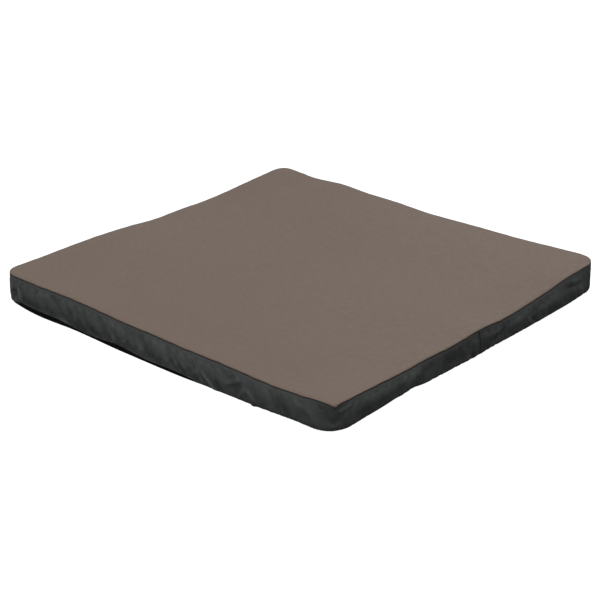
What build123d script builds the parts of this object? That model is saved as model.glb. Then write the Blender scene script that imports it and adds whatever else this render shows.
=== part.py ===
"""Square folding spa cover: two foam boards in one sewn jacket, joined by a fabric hinge.

Millimetres, +Z up. The origin is the middle of the underside. X runs across the fold and Y along it.
Every half is drawn on the fixed side (X below 0) and mirrored for the folding side.
"""

import os

from build123d import *

# Overall size
LENGTH = 1550.0  # along the fold
WIDTH = 1505.0  # across the fold
FOAM_THICK = 102.0
CORNER_RADIUS = 70.0  # plan radius of the four outer corners

# Sheet thicknesses and the free play between neighbouring layers
TOP_SKIN = 1.2
BAND_SKIN = 1.0
LINER_SKIN = 1.2
WALL_SKIN = 1.0
WEBBING_THICK = 0.8
FILM = 0.4
TAPE_THICK = 0.6
PLAY = 0.3

# Jacket
JACKET_EASE = 4.0  # room between the wrapped board and the jacket's top
EDGE_ROLL = 9.0  # radius at which the top panel rolls down to its seam
HEM_HEIGHT = 3.0  # lower edge of the side band above the underside
LINER_TURN_UP = 12.0
LINER_EDGE_RADIUS = 2.0
SEAM_TAPE_HEIGHT = 13.0
SEAM_TAPE_THICK = 0.8
WEBBING_REACH = 60.0  # how far the hinge webbing reaches from the fold
WEBBING_END_INSET = 12.0

# Fold
HINGE_SLIT = 0.15  # half of the cut between the two top panels
FOLD_FACE = 3.0  # the jacket's fold face from the fold plane
FOLD_CORNER = 4.0  # plan radius of the jacket where the band turns in at the fold
BAND_RETURN = 25.0  # how far the band reaches along the fold face
CHANNEL_WALL = 1.0
CHANNEL_FLANGE = 25.0
CHANNEL_END_INSET = 8.5

# Zip in the fold face, closing the jacket round each board
ZIP_HEIGHT = 30.0  # centre line above the underside
ZIP_LENGTH = 1450.0
ZIP_OPENING = 12.0
TAPE_WIDTH = 15.0
TAPE_OVERRUN = 9.0
CHAIN_ROW = 2.7
CHAIN_THICK = 0.8
STOP_LENGTH = 5.0
SLIDER_LENGTH = 14.0
SLIDER_WIDTH = 10.0
SLIDER_PLATE = 1.2
SLIDER_PARK = 4.0  # from the end of the chain to the parked slider
BRIDGE = (3.0, 1.6)  # along and across the zip
BRIDGE_HEIGHT = 1.2
TAB_LENGTH = 26.0
TAB_WIDTH = 6.0
TAB_THICK = 0.8
TAB_WINDOW = (4.0, 2.6)
TAB_HOLE_RADIUS = 1.6

# Heat seal that hangs in the fold
SEAL_SLEEVE = 0.6
SEAL_THICK = 5.1
SEAL_BOTTOM = 62.0
SEAL_HEIGHT = 36.0
SEAL_END_INSET = 6.0
SEAL_FIN = 0.6  # thickness of the flap that sews the seal to the hinge
FIN_ROOT = 1.0  # how far the flap runs into the sleeve

# Drain eyelets in the underside
EYELET_OUTER = 9.0
EYELET_BORE = 5.0
EYELET_FROM_EDGE = 110.0
EYELET_SPACING = 870.0

# Heights of the layers, worked out from the underside
FILM_BOTTOM = LINER_SKIN + PLAY
FOAM_BOTTOM = FILM_BOTTOM + FILM + PLAY
FOAM_TOP = FOAM_BOTTOM + FOAM_THICK
FILM_TOP = FOAM_TOP + PLAY + FILM
INSIDE_TOP = FILM_TOP + JACKET_EASE
WEBBING_TOP = INSIDE_TOP + PLAY + WEBBING_THICK
TOP = WEBBING_TOP + PLAY + TOP_SKIN
SEAM = TOP - EDGE_ROLL

# Insets of the layers from the jacket's outer face
LINER_INSET = BAND_SKIN + PLAY
FILM_INSET = LINER_INSET + LINER_SKIN + PLAY
FOAM_INSET = FILM_INSET + FILM + PLAY

# Distances of the layers from the fold plane
TAPE_FACE = FOLD_FACE + WALL_SKIN + PLAY
FILM_FACE = TAPE_FACE + TAPE_THICK + PLAY
CHANNEL_FACE = FILM_FACE + FILM + PLAY
FOAM_FACE = CHANNEL_FACE + CHANNEL_WALL + PLAY
CHAIN_FRONT = TAPE_FACE - PLAY - CHAIN_THICK
PLATE_BACK = CHAIN_FRONT - PLAY
PLATE_FRONT = PLATE_BACK - SLIDER_PLATE

HALF_LENGTH = LENGTH / 2
HALF_WIDTH = WIDTH / 2
WALL_END = HALF_LENGTH - BAND_RETURN - PLAY
ZIP_END = ZIP_LENGTH / 2
TAPE_END = ZIP_END + TAPE_OVERRUN


def half_plan(inset, fold_face, fold_corner=0.0):
    """Plan of one half: two large outer corners and, when asked, two small ones at the fold."""
    width = HALF_WIDTH - inset - fold_face
    with BuildSketch() as plan:
        with Locations((-fold_face - width / 2, 0)):
            Rectangle(width, LENGTH - 2 * inset)
        fillet(plan.vertices().group_by(Axis.X)[0], CORNER_RADIUS - inset)
        if fold_corner:
            fillet(plan.vertices().group_by(Axis.X)[-1], fold_corner)
    return plan.sketch


def half_block(inset, fold_face, bottom, top, top_radius=0.0, bottom_radius=0.0):
    """Solid of one half between two heights, its outer edges rounded above or below."""
    with BuildPart() as block:
        with BuildSketch(Plane.XY.offset(bottom)):
            add(half_plan(inset, fold_face))
        extrude(amount=top - bottom)
        fold_side = -fold_face - 1
        if top_radius:
            rim = block.edges().group_by(Axis.Z)[-1]
            fillet(rim.filter_by_position(Axis.X, -WIDTH, fold_side), top_radius)
        if bottom_radius:
            rim = block.edges().group_by(Axis.Z)[0]
            fillet(rim.filter_by_position(Axis.X, -WIDTH, fold_side), bottom_radius)
    return block.part


def upright_sheet(near, far, half_run, bottom, top):
    """Flat sheet parallel to the fold plane, centred along the fold."""
    with BuildPart() as sheet:
        with BuildSketch(Plane.XY.offset(bottom)):
            with Locations((-(near + far) / 2, 0)):
                Rectangle(far - near, 2 * half_run)
        extrude(amount=top - bottom)
    return sheet.part


def make_foam_core():
    """Polystyrene board, rebated at the fold for the channel's two flanges."""
    rebate_far = CHANNEL_FACE + CHANNEL_FLANGE + PLAY
    rebate_deep = CHANNEL_WALL + PLAY
    with BuildPart() as foam_core:
        add(half_block(FOAM_INSET, FOAM_FACE, FOAM_BOTTOM, FOAM_TOP, EDGE_ROLL - FOAM_INSET))
        add(
            upright_sheet(0, rebate_far, HALF_LENGTH, FOAM_BOTTOM, FOAM_BOTTOM + rebate_deep),
            mode=Mode.SUBTRACT,
        )
        add(
            upright_sheet(0, rebate_far, HALF_LENGTH, FOAM_TOP - rebate_deep, FOAM_TOP),
            mode=Mode.SUBTRACT,
        )
    return foam_core.part


def make_fold_channel():
    """Galvanised C-channel that stiffens the board along the fold."""
    flange_end = CHANNEL_FACE + CHANNEL_FLANGE
    middle = (FOAM_BOTTOM + FOAM_TOP) / 2
    with BuildPart() as fold_channel:
        with BuildSketch(Plane.XZ):
            with Locations((-(CHANNEL_FACE + flange_end) / 2, middle)):
                Rectangle(CHANNEL_FLANGE, FOAM_THICK)
            with Locations((-(CHANNEL_FACE + CHANNEL_WALL + flange_end + PLAY) / 2, middle)):
                Rectangle(
                    CHANNEL_FLANGE - CHANNEL_WALL + PLAY,
                    FOAM_THICK - 2 * CHANNEL_WALL,
                    mode=Mode.SUBTRACT,
                )
        extrude(amount=HALF_LENGTH - CHANNEL_END_INSET, both=True)
    return fold_channel.part


def make_vapour_barrier():
    """Heat-sealed film bag round the board and its channel."""
    film_roll = EDGE_ROLL - FILM_INSET
    with BuildPart() as vapour_barrier:
        add(half_block(FILM_INSET, FILM_FACE, FILM_BOTTOM, FILM_TOP, film_roll))
        add(
            half_block(
                FILM_INSET + FILM,
                FILM_FACE + FILM,
                FILM_BOTTOM + FILM,
                FILM_TOP - FILM,
                film_roll - FILM,
            ),
            mode=Mode.SUBTRACT,
        )
    return vapour_barrier.part


def make_top_panel():
    """Top sheet of one half, rolled down to the seam on its three outer sides."""
    with BuildPart() as top_panel:
        add(half_block(0, HINGE_SLIT, SEAM, TOP, top_radius=EDGE_ROLL - PLAY))
        add(
            half_block(TOP_SKIN, -1, SEAM, TOP - TOP_SKIN, top_radius=EDGE_ROLL - PLAY - TOP_SKIN),
            mode=Mode.SUBTRACT,
        )
    return top_panel.part


def make_hinge_webbing():
    """Webbing sewn under the top sheet to carry the load of the hinge."""
    with BuildPart() as hinge_webbing:
        add(
            upright_sheet(
                HINGE_SLIT,
                WEBBING_REACH,
                HALF_LENGTH - WEBBING_END_INSET,
                WEBBING_TOP - WEBBING_THICK,
                WEBBING_TOP,
            )
        )
    return hinge_webbing.part


def make_side_band():
    """Side band round the three outer sides, returned a little way along the fold face."""
    with BuildPart() as side_band:
        with BuildSketch(Plane.XY.offset(HEM_HEIGHT)):
            add(half_plan(0, FOLD_FACE, FOLD_CORNER))
            add(
                half_plan(BAND_SKIN, FOLD_FACE + BAND_SKIN, FOLD_CORNER - BAND_SKIN),
                mode=Mode.SUBTRACT,
            )
            with Locations((-FOLD_FACE, 0)):
                Rectangle(4 * BAND_SKIN, LENGTH - 2 * BAND_RETURN, mode=Mode.SUBTRACT)
        extrude(amount=SEAM - PLAY - HEM_HEIGHT)
    return side_band.part


def make_seam_tape():
    """Binding tape inside the seam between the top sheet and the side band."""
    inset = BAND_SKIN + PLAY
    with BuildPart() as seam_tape:
        with BuildSketch(Plane.XY.offset(SEAM - PLAY - SEAM_TAPE_HEIGHT)):
            add(half_plan(inset, FOLD_FACE + FOLD_CORNER))
            add(half_plan(inset + SEAM_TAPE_THICK, 0), mode=Mode.SUBTRACT)
        extrude(amount=SEAM_TAPE_HEIGHT)
    return seam_tape.part


def make_fold_wall_upper():
    """Fold wall above the zip, with an ear at each end that meets the lower wall's."""
    with BuildPart() as fold_wall_upper:
        with BuildSketch(Plane.YZ.offset(-FOLD_FACE)):
            with BuildLine():
                Polyline(
                    (-WALL_END, ZIP_HEIGHT + PLAY / 2),
                    (-TAPE_END, ZIP_HEIGHT + PLAY / 2),
                    (-TAPE_END, ZIP_HEIGHT + ZIP_OPENING / 2),
                    (TAPE_END, ZIP_HEIGHT + ZIP_OPENING / 2),
                    (TAPE_END, ZIP_HEIGHT + PLAY / 2),
                    (WALL_END, ZIP_HEIGHT + PLAY / 2),
                    (WALL_END, INSIDE_TOP),
                    (-WALL_END, INSIDE_TOP),
                    close=True,
                )
            make_face()
        extrude(amount=-WALL_SKIN)
    return fold_wall_upper.part


def make_fold_wall_lower():
    """Fold wall below the zip, standing on the underside liner."""
    with BuildPart() as fold_wall_lower:
        with BuildSketch(Plane.YZ.offset(-FOLD_FACE)):
            with BuildLine():
                Polyline(
                    (-WALL_END, ZIP_HEIGHT - PLAY / 2),
                    (-TAPE_END, ZIP_HEIGHT - PLAY / 2),
                    (-TAPE_END, ZIP_HEIGHT - ZIP_OPENING / 2),
                    (TAPE_END, ZIP_HEIGHT - ZIP_OPENING / 2),
                    (TAPE_END, ZIP_HEIGHT - PLAY / 2),
                    (WALL_END, ZIP_HEIGHT - PLAY / 2),
                    (WALL_END, FILM_BOTTOM),
                    (-WALL_END, FILM_BOTTOM),
                    close=True,
                )
            make_face()
        extrude(amount=-WALL_SKIN)
    return fold_wall_lower.part


def make_zip_tapes():
    """The two tapes of the zip, behind the fold wall."""
    with BuildPart() as zip_tapes:
        with BuildSketch(Plane.YZ.offset(-TAPE_FACE)):
            with GridLocations(0, TAPE_WIDTH + PLAY, 1, 2):
                with Locations((0, ZIP_HEIGHT)):
                    Rectangle(2 * TAPE_END, TAPE_WIDTH)
        extrude(amount=-TAPE_THICK)
    return zip_tapes.part


def make_zip_chain():
    """The two rows of coil, in front of the tapes."""
    with BuildPart() as zip_chain:
        with BuildSketch(Plane.YZ.offset(-CHAIN_FRONT)):
            with GridLocations(0, CHAIN_ROW + PLAY, 1, 2):
                with Locations((0, ZIP_HEIGHT)):
                    Rectangle(ZIP_LENGTH, CHAIN_ROW)
        extrude(amount=-CHAIN_THICK)
    return zip_chain.part


def make_zip_stops():
    """Crimped stops at the two ends of the chain."""
    stop_middle = ZIP_END + PLAY + STOP_LENGTH / 2
    with BuildPart() as zip_stops:
        with BuildSketch(Plane.YZ.offset(-PLATE_BACK)):
            with Locations((-stop_middle, ZIP_HEIGHT), (stop_middle, ZIP_HEIGHT)):
                RectangleRounded(STOP_LENGTH, 2 * CHAIN_ROW, 1.0)
        extrude(amount=PLATE_BACK - TAPE_FACE + PLAY)
    return zip_stops.part


def slider_middle():
    """Where the parked slider's middle is along the fold."""
    return -ZIP_END + SLIDER_PARK + SLIDER_LENGTH / 2


def make_zip_slider():
    """Slider that straddles the chain, with a bridge for its pull tab."""
    flange = (SLIDER_WIDTH - 2 * CHAIN_ROW - 3 * PLAY) / 2
    flange_middle = (SLIDER_WIDTH - flange) / 2
    with BuildPart() as zip_slider:
        with BuildSketch(Plane.YZ.offset(-PLATE_FRONT)):
            with Locations((slider_middle(), ZIP_HEIGHT)):
                RectangleRounded(SLIDER_LENGTH, SLIDER_WIDTH, 3.0)
        extrude(amount=-SLIDER_PLATE)
        with BuildSketch(Plane.YZ.offset(-PLATE_BACK)):
            with Locations(
                (slider_middle(), ZIP_HEIGHT - flange_middle),
                (slider_middle(), ZIP_HEIGHT + flange_middle),
            ):
                Rectangle(SLIDER_LENGTH - 2 * 3.0, flange)
        extrude(amount=PLATE_BACK - TAPE_FACE + PLAY)
        with BuildSketch(Plane.YZ.offset(-PLATE_FRONT)):
            with Locations((slider_middle(), ZIP_HEIGHT)):
                Rectangle(*BRIDGE)
        extrude(amount=BRIDGE_HEIGHT)
    return zip_slider.part


def make_pull_tab():
    """Pull tab that lies along the zip, its window round the slider's bridge."""
    tab_face = PLATE_FRONT - PLAY - TAB_THICK
    window_from_end = TAB_WIDTH / 2 + 0.5
    tab_middle = slider_middle() + TAB_LENGTH / 2 - window_from_end
    with BuildPart() as pull_tab:
        with BuildSketch(Plane.YZ.offset(-tab_face)):
            with Locations((tab_middle, ZIP_HEIGHT)):
                RectangleRounded(TAB_LENGTH, TAB_WIDTH, TAB_WIDTH / 2 - 0.5)
            with Locations((slider_middle(), ZIP_HEIGHT)):
                Rectangle(*TAB_WINDOW, mode=Mode.SUBTRACT)
            with Locations((tab_middle + TAB_LENGTH / 2 - window_from_end, ZIP_HEIGHT)):
                Circle(TAB_HOLE_RADIUS, mode=Mode.SUBTRACT)
        extrude(amount=-TAB_THICK)
    return pull_tab.part


def eyelet_places():
    """Plan positions of the drain eyelets, near the outer edge of the half."""
    x = -HALF_WIDTH + EYELET_FROM_EDGE
    return [(x, -EYELET_SPACING / 2), (x, EYELET_SPACING / 2)]


def make_underside_liner():
    """Underside sheet with its edge turned up behind the hem of the side band."""
    tray_face = FOLD_FACE + FOLD_CORNER
    with BuildPart() as underside_liner:
        add(half_block(LINER_INSET, tray_face, 0, LINER_TURN_UP, bottom_radius=LINER_EDGE_RADIUS))
        add(
            half_block(
                LINER_INSET + LINER_SKIN,
                -1,
                LINER_SKIN,
                LINER_TURN_UP,
                bottom_radius=LINER_EDGE_RADIUS - LINER_SKIN,
            ),
            mode=Mode.SUBTRACT,
        )
        add(upright_sheet(FOLD_FACE, tray_face + 1, HALF_LENGTH - tray_face, 0, LINER_SKIN))
        with BuildSketch(Plane.XY):
            with Locations(*eyelet_places()):
                Circle(EYELET_OUTER)
        extrude(amount=LINER_SKIN, mode=Mode.SUBTRACT)
    return underside_liner.part


def make_drain_eyelets():
    """Brass eyelets that let water out of the jacket."""
    with BuildPart() as drain_eyelets:
        with BuildSketch(Plane.XY.offset(PLAY / 2)):
            with Locations(*eyelet_places()):
                Circle(EYELET_OUTER - PLAY)
                Circle(EYELET_BORE, mode=Mode.SUBTRACT)
        extrude(amount=LINER_SKIN - PLAY / 2)
    return drain_eyelets.part


def seal_section(skin):
    """Section of the heat seal across the fold, smaller all round by the given skin."""
    centre = -FOLD_FACE + PLAY + SEAL_THICK / 2
    with BuildSketch() as section:
        with Locations((centre, SEAL_BOTTOM + SEAL_HEIGHT / 2)):
            RectangleRounded(SEAL_THICK - 2 * skin, SEAL_HEIGHT - 2 * skin, 2.4 - skin)
    return section.sketch


def make_seal_foam():
    """Soft strip that closes the gap between the two boards."""
    with BuildPart() as seal_foam:
        with BuildSketch(Plane.XZ):
            add(seal_section(SEAL_SLEEVE + PLAY))
        extrude(amount=HALF_LENGTH - 2 * SEAL_END_INSET, both=True)
    return seal_foam.part


def make_seal_sleeve():
    """Vinyl sleeve round the soft strip, with a flap up to the hinge."""
    seal_top = SEAL_BOTTOM + SEAL_HEIGHT
    with BuildPart() as seal_sleeve:
        with BuildSketch(Plane.XZ):
            add(seal_section(0))
            with Locations((-PLAY - SEAL_FIN / 2, (seal_top - FIN_ROOT + INSIDE_TOP) / 2)):
                Rectangle(SEAL_FIN, INSIDE_TOP - seal_top + FIN_ROOT)
            add(seal_section(SEAL_SLEEVE), mode=Mode.SUBTRACT)
        extrude(amount=HALF_LENGTH - SEAL_END_INSET, both=True)
    return seal_sleeve.part


def write_piece(part, name):
    """Labels one finished piece and writes it to its own file."""
    part.label = name
    export_step(part, f"parts/{name}.step")


def write_pair(part, name):
    """Writes a piece for the fixed half and its mirror image for the folding half."""
    write_piece(mirror(part, about=Plane.YZ), f"folding_{name}")
    write_piece(part, f"fixed_{name}")


os.makedirs("parts", exist_ok=True)

write_pair(make_foam_core(), "foam_core")
write_pair(make_fold_channel(), "fold_channel")
write_pair(make_vapour_barrier(), "vapour_barrier")
write_pair(make_top_panel(), "top_panel")
write_pair(make_hinge_webbing(), "hinge_webbing")
write_pair(make_side_band(), "side_band")
write_pair(make_seam_tape(), "seam_tape")
write_pair(make_fold_wall_upper(), "fold_wall_upper")
write_pair(make_fold_wall_lower(), "fold_wall_lower")
write_pair(make_zip_tapes(), "zip_tapes")
write_pair(make_zip_chain(), "zip_chain")
write_pair(make_zip_stops(), "zip_stops")
write_pair(make_zip_slider(), "zip_slider")
write_pair(make_pull_tab(), "pull_tab")
write_pair(make_underside_liner(), "underside_liner")
write_pair(make_drain_eyelets(), "drain_eyelets")
write_piece(make_seal_foam(), "seal_foam")
write_piece(make_seal_sleeve(), "seal_sleeve")
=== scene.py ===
import math
import random

import bmesh
import bpy
import numpy as np
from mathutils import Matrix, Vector


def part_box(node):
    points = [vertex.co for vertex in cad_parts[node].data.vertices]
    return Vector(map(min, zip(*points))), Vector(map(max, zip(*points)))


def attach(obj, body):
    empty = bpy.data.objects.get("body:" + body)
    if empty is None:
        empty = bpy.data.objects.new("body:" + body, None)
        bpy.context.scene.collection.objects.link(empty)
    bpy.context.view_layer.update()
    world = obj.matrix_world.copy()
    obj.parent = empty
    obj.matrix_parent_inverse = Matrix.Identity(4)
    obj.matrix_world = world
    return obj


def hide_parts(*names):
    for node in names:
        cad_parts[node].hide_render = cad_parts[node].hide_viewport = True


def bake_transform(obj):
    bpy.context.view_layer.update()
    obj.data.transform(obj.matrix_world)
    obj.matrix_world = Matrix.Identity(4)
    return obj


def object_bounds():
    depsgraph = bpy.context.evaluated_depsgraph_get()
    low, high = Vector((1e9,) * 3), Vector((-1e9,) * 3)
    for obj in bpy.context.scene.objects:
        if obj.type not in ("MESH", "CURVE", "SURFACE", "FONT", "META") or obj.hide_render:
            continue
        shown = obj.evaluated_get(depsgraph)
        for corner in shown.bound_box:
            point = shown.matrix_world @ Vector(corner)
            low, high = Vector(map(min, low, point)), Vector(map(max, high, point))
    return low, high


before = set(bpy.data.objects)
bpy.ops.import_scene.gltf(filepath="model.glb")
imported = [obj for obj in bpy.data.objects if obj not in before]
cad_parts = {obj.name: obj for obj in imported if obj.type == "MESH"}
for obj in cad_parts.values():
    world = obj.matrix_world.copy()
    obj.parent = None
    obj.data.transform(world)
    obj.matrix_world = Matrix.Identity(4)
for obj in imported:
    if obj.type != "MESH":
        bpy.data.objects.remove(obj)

# The CAD box, and the cover's main sizes taken from it (metres, +Z up, fold along X = 0)
CAD_LOW, CAD_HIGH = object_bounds()
HALF_W, HALF_L, TOP = CAD_HIGH
LENGTH = 2 * HALF_L
AROUND_HALF = 2 * HALF_W + LENGTH  # round the three open sides of one half
MM = 0.001

# Camera, in lengths of the cover
CAMERA_AZIMUTH = -48.525
CAMERA_ELEVATION = 24.156
CAMERA_DISTANCE = 3.3667
CAMERA_TARGET = (-0.1432, -0.1184, 0.0708)
CAMERA_LENS = 90.99  # millimetres, on a sensor 36 mm wide

# Places round the cover are counted in sides: 0 is the left corner, 1 the near corner, 2 the right
# corner and 3 the back corner, so 1.5 and 3.5 are the two ends of the fold.
NEAR_SHIFT = (0.009, -0.010)  # of the near corner, in half widths and half lengths
CORNERS = ((-1, 1), (-1 + NEAR_SHIFT[0], -1 + NEAR_SHIFT[1]), (1, -1), (1, 1))
SEAM_CORNERS = (0.070, 0.010, 0.074, 0.050)
HEM_CORNERS = (0.070, 0.090, 0.070, 0.070)

# Shape of the worn jacket round the cover, as millimetres at each place
SEAM_HEIGHT = {
    0: 115, 0.04: 118, 0.12: 116, 0.24: 120, 0.34: 115.5, 0.42: 109.5, 0.5: 110, 0.59: 105.5, 0.7: 107,
    0.84: 101.5, 0.93: 109.5, 0.975: 118, 1: 116, 1.05: 114.5, 1.15: 109, 1.23: 103.5, 1.3: 105, 1.4: 98,
    1.47: 102, 1.52: 103, 1.58: 93, 1.64: 94, 1.7: 98.5, 1.78: 105.5, 1.84: 116, 1.88: 117.5, 1.95: 119.5,
    2: 120, 2.05: 120, 2.12: 116, 2.22: 109, 2.35: 107, 2.5: 102, 2.6: 110.5, 2.7: 111, 2.78: 120,
    2.88: 109, 2.95: 119, 3: 120.5, 3.04: 120, 3.15: 110, 3.25: 99.5, 3.33: 95.5, 3.4: 99, 3.5: 96,
    3.6: 109, 3.7: 115, 3.8: 115, 3.87: 113, 3.95: 114,
}
UNDER_HEIGHT = {
    0: 10, 0.04: 8, 0.1: 0, 0.17: 0, 0.25: 2, 0.34: 0, 0.6: 0, 0.7: 0, 0.8: 0.5, 0.9: 6, 0.96: 7, 1: 7.5,
    1.05: 13, 1.15: 13, 1.2: 16.5, 1.245: 24.5, 1.29: 11.5, 1.36: 9.5, 1.44: 7, 1.5: 4, 1.55: 8, 1.62: 5,
    1.75: 2.5, 1.87: 2, 1.95: 6, 2: 9, 2.2: 3, 2.5: 0, 2.8: 3, 3: 8, 3.2: 3, 3.5: 0, 3.8: 3,
}
HEM_GAP = {
    0: 2, 0.03: 3, 0.06: 23, 0.12: 25.5, 0.2: 25.5, 0.25: 12, 0.33: 12, 0.375: 26, 0.42: 25, 0.47: 12,
    0.52: 14, 0.57: 20, 0.63: 11, 0.69: 1, 0.8: 1, 2: 1, 3: 2, 3.3: 4, 3.5: 3, 3.8: 5,
}
HEM_FLARE = {
    0: 0, 0.08: 5, 0.15: 8, 0.23: 3, 0.32: 4, 0.38: 8, 0.6: 9, 0.68: 3, 0.93: 2, 1: 7, 1.1: 4, 1.3: 5,
    1.5: 4, 1.8: 3, 1.95: 1, 2: 0, 2.5: 2, 3: 0, 3.5: 2,
}
LOWER_ROUND = {
    0: 14, 0.07: 4, 0.55: 4, 0.75: 14, 0.9: 20, 1: 20, 1.25: 26, 1.4: 22, 1.5: 18, 1.8: 14, 2: 16, 3: 20,
    3.5: 20, 3.8: 14,
}

# How much painted shade darkens the side bands under the seam and above the hem, as percent at each place
SHADED_HIGH = {
    0: 0, 0.1: 0, 0.16: 12, 0.22: 0, 0.34: 10, 0.5: 8, 0.6: 0, 0.9: 0, 0.96: 12, 1.02: 18, 1.06: 0, 1.27: 0,
    1.34: 45, 1.56: 45, 1.64: 15, 1.74: 0, 1.88: 5, 1.95: 35, 2: 35, 2.2: 10, 2.7: 20, 3.2: 0, 3.6: 20,
}
SHADED_LOW = {
    0: 0, 0.08: 10, 0.2: 0, 0.34: 10, 0.42: 0, 1: 0, 1.06: 25, 1.27: 25, 1.33: 5, 1.6: 5, 1.68: 15,
    1.85: 15, 1.95: 0, 2.5: 15, 3: 0, 3.5: 10,
}

# The near corner of the seam droops to a point
TIP_PLACE = 1.005
TIP_DROOP = 5 * MM
TIP_WIDE = 0.006  # in sides

# How widely the tables are smoothed for the broad shape and the small waves, in shares of the way round
BROAD = 0.30
FINE = 0.05

# Small waves that the stitching pulls into the seam, as (number round the cover, millimetres)
SEAM_PULLS = ((61, 0.6), (97, 0.5), (151, 0.35))

# Sections
ROLL_WIDE = 9 * MM
ROLL_DEEP = 4 * MM
ROLL_STEPS = 8
ROLL_HEM = ((0.5 * MM, 1.12), (3 * MM, 1.2))  # past the seam: inset, and drop in rolls
CROWN = 9 * MM  # rise of the top sheet from the line between its edges to the middle
TOP_THICK = 1.2 * MM
BAND_THICK = 1.0 * MM
LINER_THICK = 1.2 * MM
BAND_BULGE = 7 * MM
BOARD_EASE = 6 * MM  # extra room between the boards and the side bands
SEAM_GAP = 3.0 * MM  # groove between the rolled edge of the top sheet and the band
FOLD_GAP = 1.8 * MM  # from the fold plane to the band's end
FOLD_TURN = 5 * MM
BAND_RETURN = 40 * MM
BAND_HEAD = ((4.5 * MM, 0.6 * MM), (1.2 * MM, 0.3 * MM))  # tucked in at the seam: inset and rise
BAND_FOOT = ((1.6 * MM, 0.2 * MM), (8 * MM, 1.5 * MM))  # turned in at the hem
LINER_BEHIND = 1.8 * MM  # from the outside of the band to the outside of the liner's edge
LINER_FOLD_FACE = 3.2 * MM
EYELET_BORE, EYELET_HOLE = 0.575, 0.7  # radii of the bore and of the hole in the cloth, in outer radii
LINER_RINGS = (  # of the turned-up edge: share of the height that shows, and how far it is tucked in
    (0.02, 0), (0.08, 0), (0.2, 0), (0.4, 0), (0.65, 0), (1, 0), (1.1, 4 * MM), (1.2, 9 * MM),
)

# Between these heights of the CAD cover, in TOPs, a point comes to move with the top of the jacket, and
# ceases to move with its underside
MOVES_WITH_TOP = (0.38, 0.85)
STOPS_WITH_UNDER = (0, 0.2)

# Grids
SIM_STATION = 9 * MM  # between the points of the simulated cloth, along a band
SIM_ROWS = 17  # of them down it
CUT_STEPS = (60 * MM, 60 * MM, 12 * MM)  # between the cuts that let a CAD node bend, along X, Y and Z


# ---- shape of the worn cover


def smoothstep(value, start, end):
    share = np.clip((value - start) / (end - start), 0, 1)
    return share * share * (3 - 2 * share)


def unit(vectors):
    """The same directions, each of length 1."""
    return vectors / np.maximum(np.linalg.norm(vectors, axis=-1, keepdims=True), 1e-12)


def running(steps):
    return np.concatenate([[0], np.cumsum(steps)])


def run_along(line):
    """Distance along a line of points, from its first point to each."""
    return running(np.linalg.norm(np.diff(line, axis=0), axis=1))


def profile(table, places, width=0.06):
    """Smooth closed curve through a table of millimetres at places, read at other places, in metres."""
    samples = 1600
    fine = np.linspace(0, 4, samples, endpoint=False)
    raw = np.interp(fine, list(table), np.array(list(table.values()), float) * MM, period=4)
    reach = max(2, int(width * samples / 4))
    kernel = np.hanning(2 * reach + 1)
    smooth = np.convolve(np.pad(raw, reach, "wrap"), kernel / kernel.sum(), "valid")
    return np.interp(np.mod(places, 4), fine, smooth, period=4)


def outline(places, scale, radii):
    """Points of a rounded rectangle at the given places, and the outward direction at each."""
    corners = np.array(CORNERS) * (HALF_W, HALF_L)
    places = np.asarray(places, float) % 4
    side = np.minimum(places.astype(int), 3)
    share = (places - side)[:, None]
    scale = np.broadcast_to(scale, places.shape)[:, None]
    start = corners[side] * scale
    step = (corners[(side + 1) % 4] - corners[side]) * scale
    length = np.linalg.norm(step, axis=1, keepdims=True)
    along = unit(step)
    inward = along[:, ::-1] * (-1, 1)
    points, outward = start + step * share, -inward
    for end in (0, 1):
        radius = np.array(radii)[(side + end) % 4, None] * scale
        leg = (1 - share if end else share) * length
        away = -along if end else along
        angle = math.pi / 4 * (1 - leg / np.maximum(radius, 1e-9))
        centre = start + step * end + (away + inward) * radius
        direction = -inward * np.cos(angle) - away * np.sin(angle)
        points = np.where(leg < radius, centre + direction * radius, points)
        outward = np.where(leg < radius, direction, outward)
    return points, outward


def places_of(u, v):
    """Place round the cover and share of the way out from its middle, for points of a square."""
    reach = np.maximum(np.maximum(np.abs(u), np.abs(v)), 1e-9)
    a, b = u / reach, v / reach
    place = np.select(
        [a <= -1 + 1e-9, b <= -1 + 1e-9, a >= 1 - 1e-9],
        [(1 - b) / 2, 1 + (a + 1) / 2, 2 + (b + 1) / 2],
        3 + (1 - a) / 2,
    )
    return place, reach


def carried_in(table, x, y, width):
    """Value inside the cover, carried in smoothly from its four edges (a Coons patch)."""
    u = np.clip((x / HALF_W + 1) / 2, 0, 1)
    v = np.clip((y / HALF_L + 1) / 2, 0, 1)
    west, south, east, north = (profile(table, place, width) for place in (1 - v, 1 + u, 2 + v, 4 - u))
    left, near, right, back = profile(table, np.arange(4), width)
    ruled = (1 - u) * west + u * east + (1 - v) * south + v * north
    twice = (1 - u) * ((1 - v) * near + v * left) + u * ((1 - v) * right + v * back)
    return ruled - twice


def edge_share(x, y, start):
    """0 inside the start share of the cover, rising to 1 at its edges."""
    reach = (np.abs(x / HALF_W) ** 6 + np.abs(y / HALF_L) ** 6) ** (1 / 6)
    return smoothstep(reach, start, 1)


def top_height(x, y):
    """Top of the jacket: broad shape from edge to edge, with the edges' small waves dying out inward."""
    broad = carried_in(SEAM_HEIGHT, x, y, BROAD)
    waves = carried_in(SEAM_HEIGHT, x, y, FINE) - broad
    crown = CROWN * (1 - (x / HALF_W) ** 2) * (1 - (y / HALF_L) ** 2)
    return broad + waves * edge_share(x, y, 0.72) + crown + ROLL_DEEP


def under_height(x, y):
    """Underside of the jacket: flat on the floor in the middle, lifted a little at the edges."""
    return np.maximum(carried_in(UNDER_HEIGHT, x, y, FINE), 0) * edge_share(x, y, 0.5)


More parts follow.
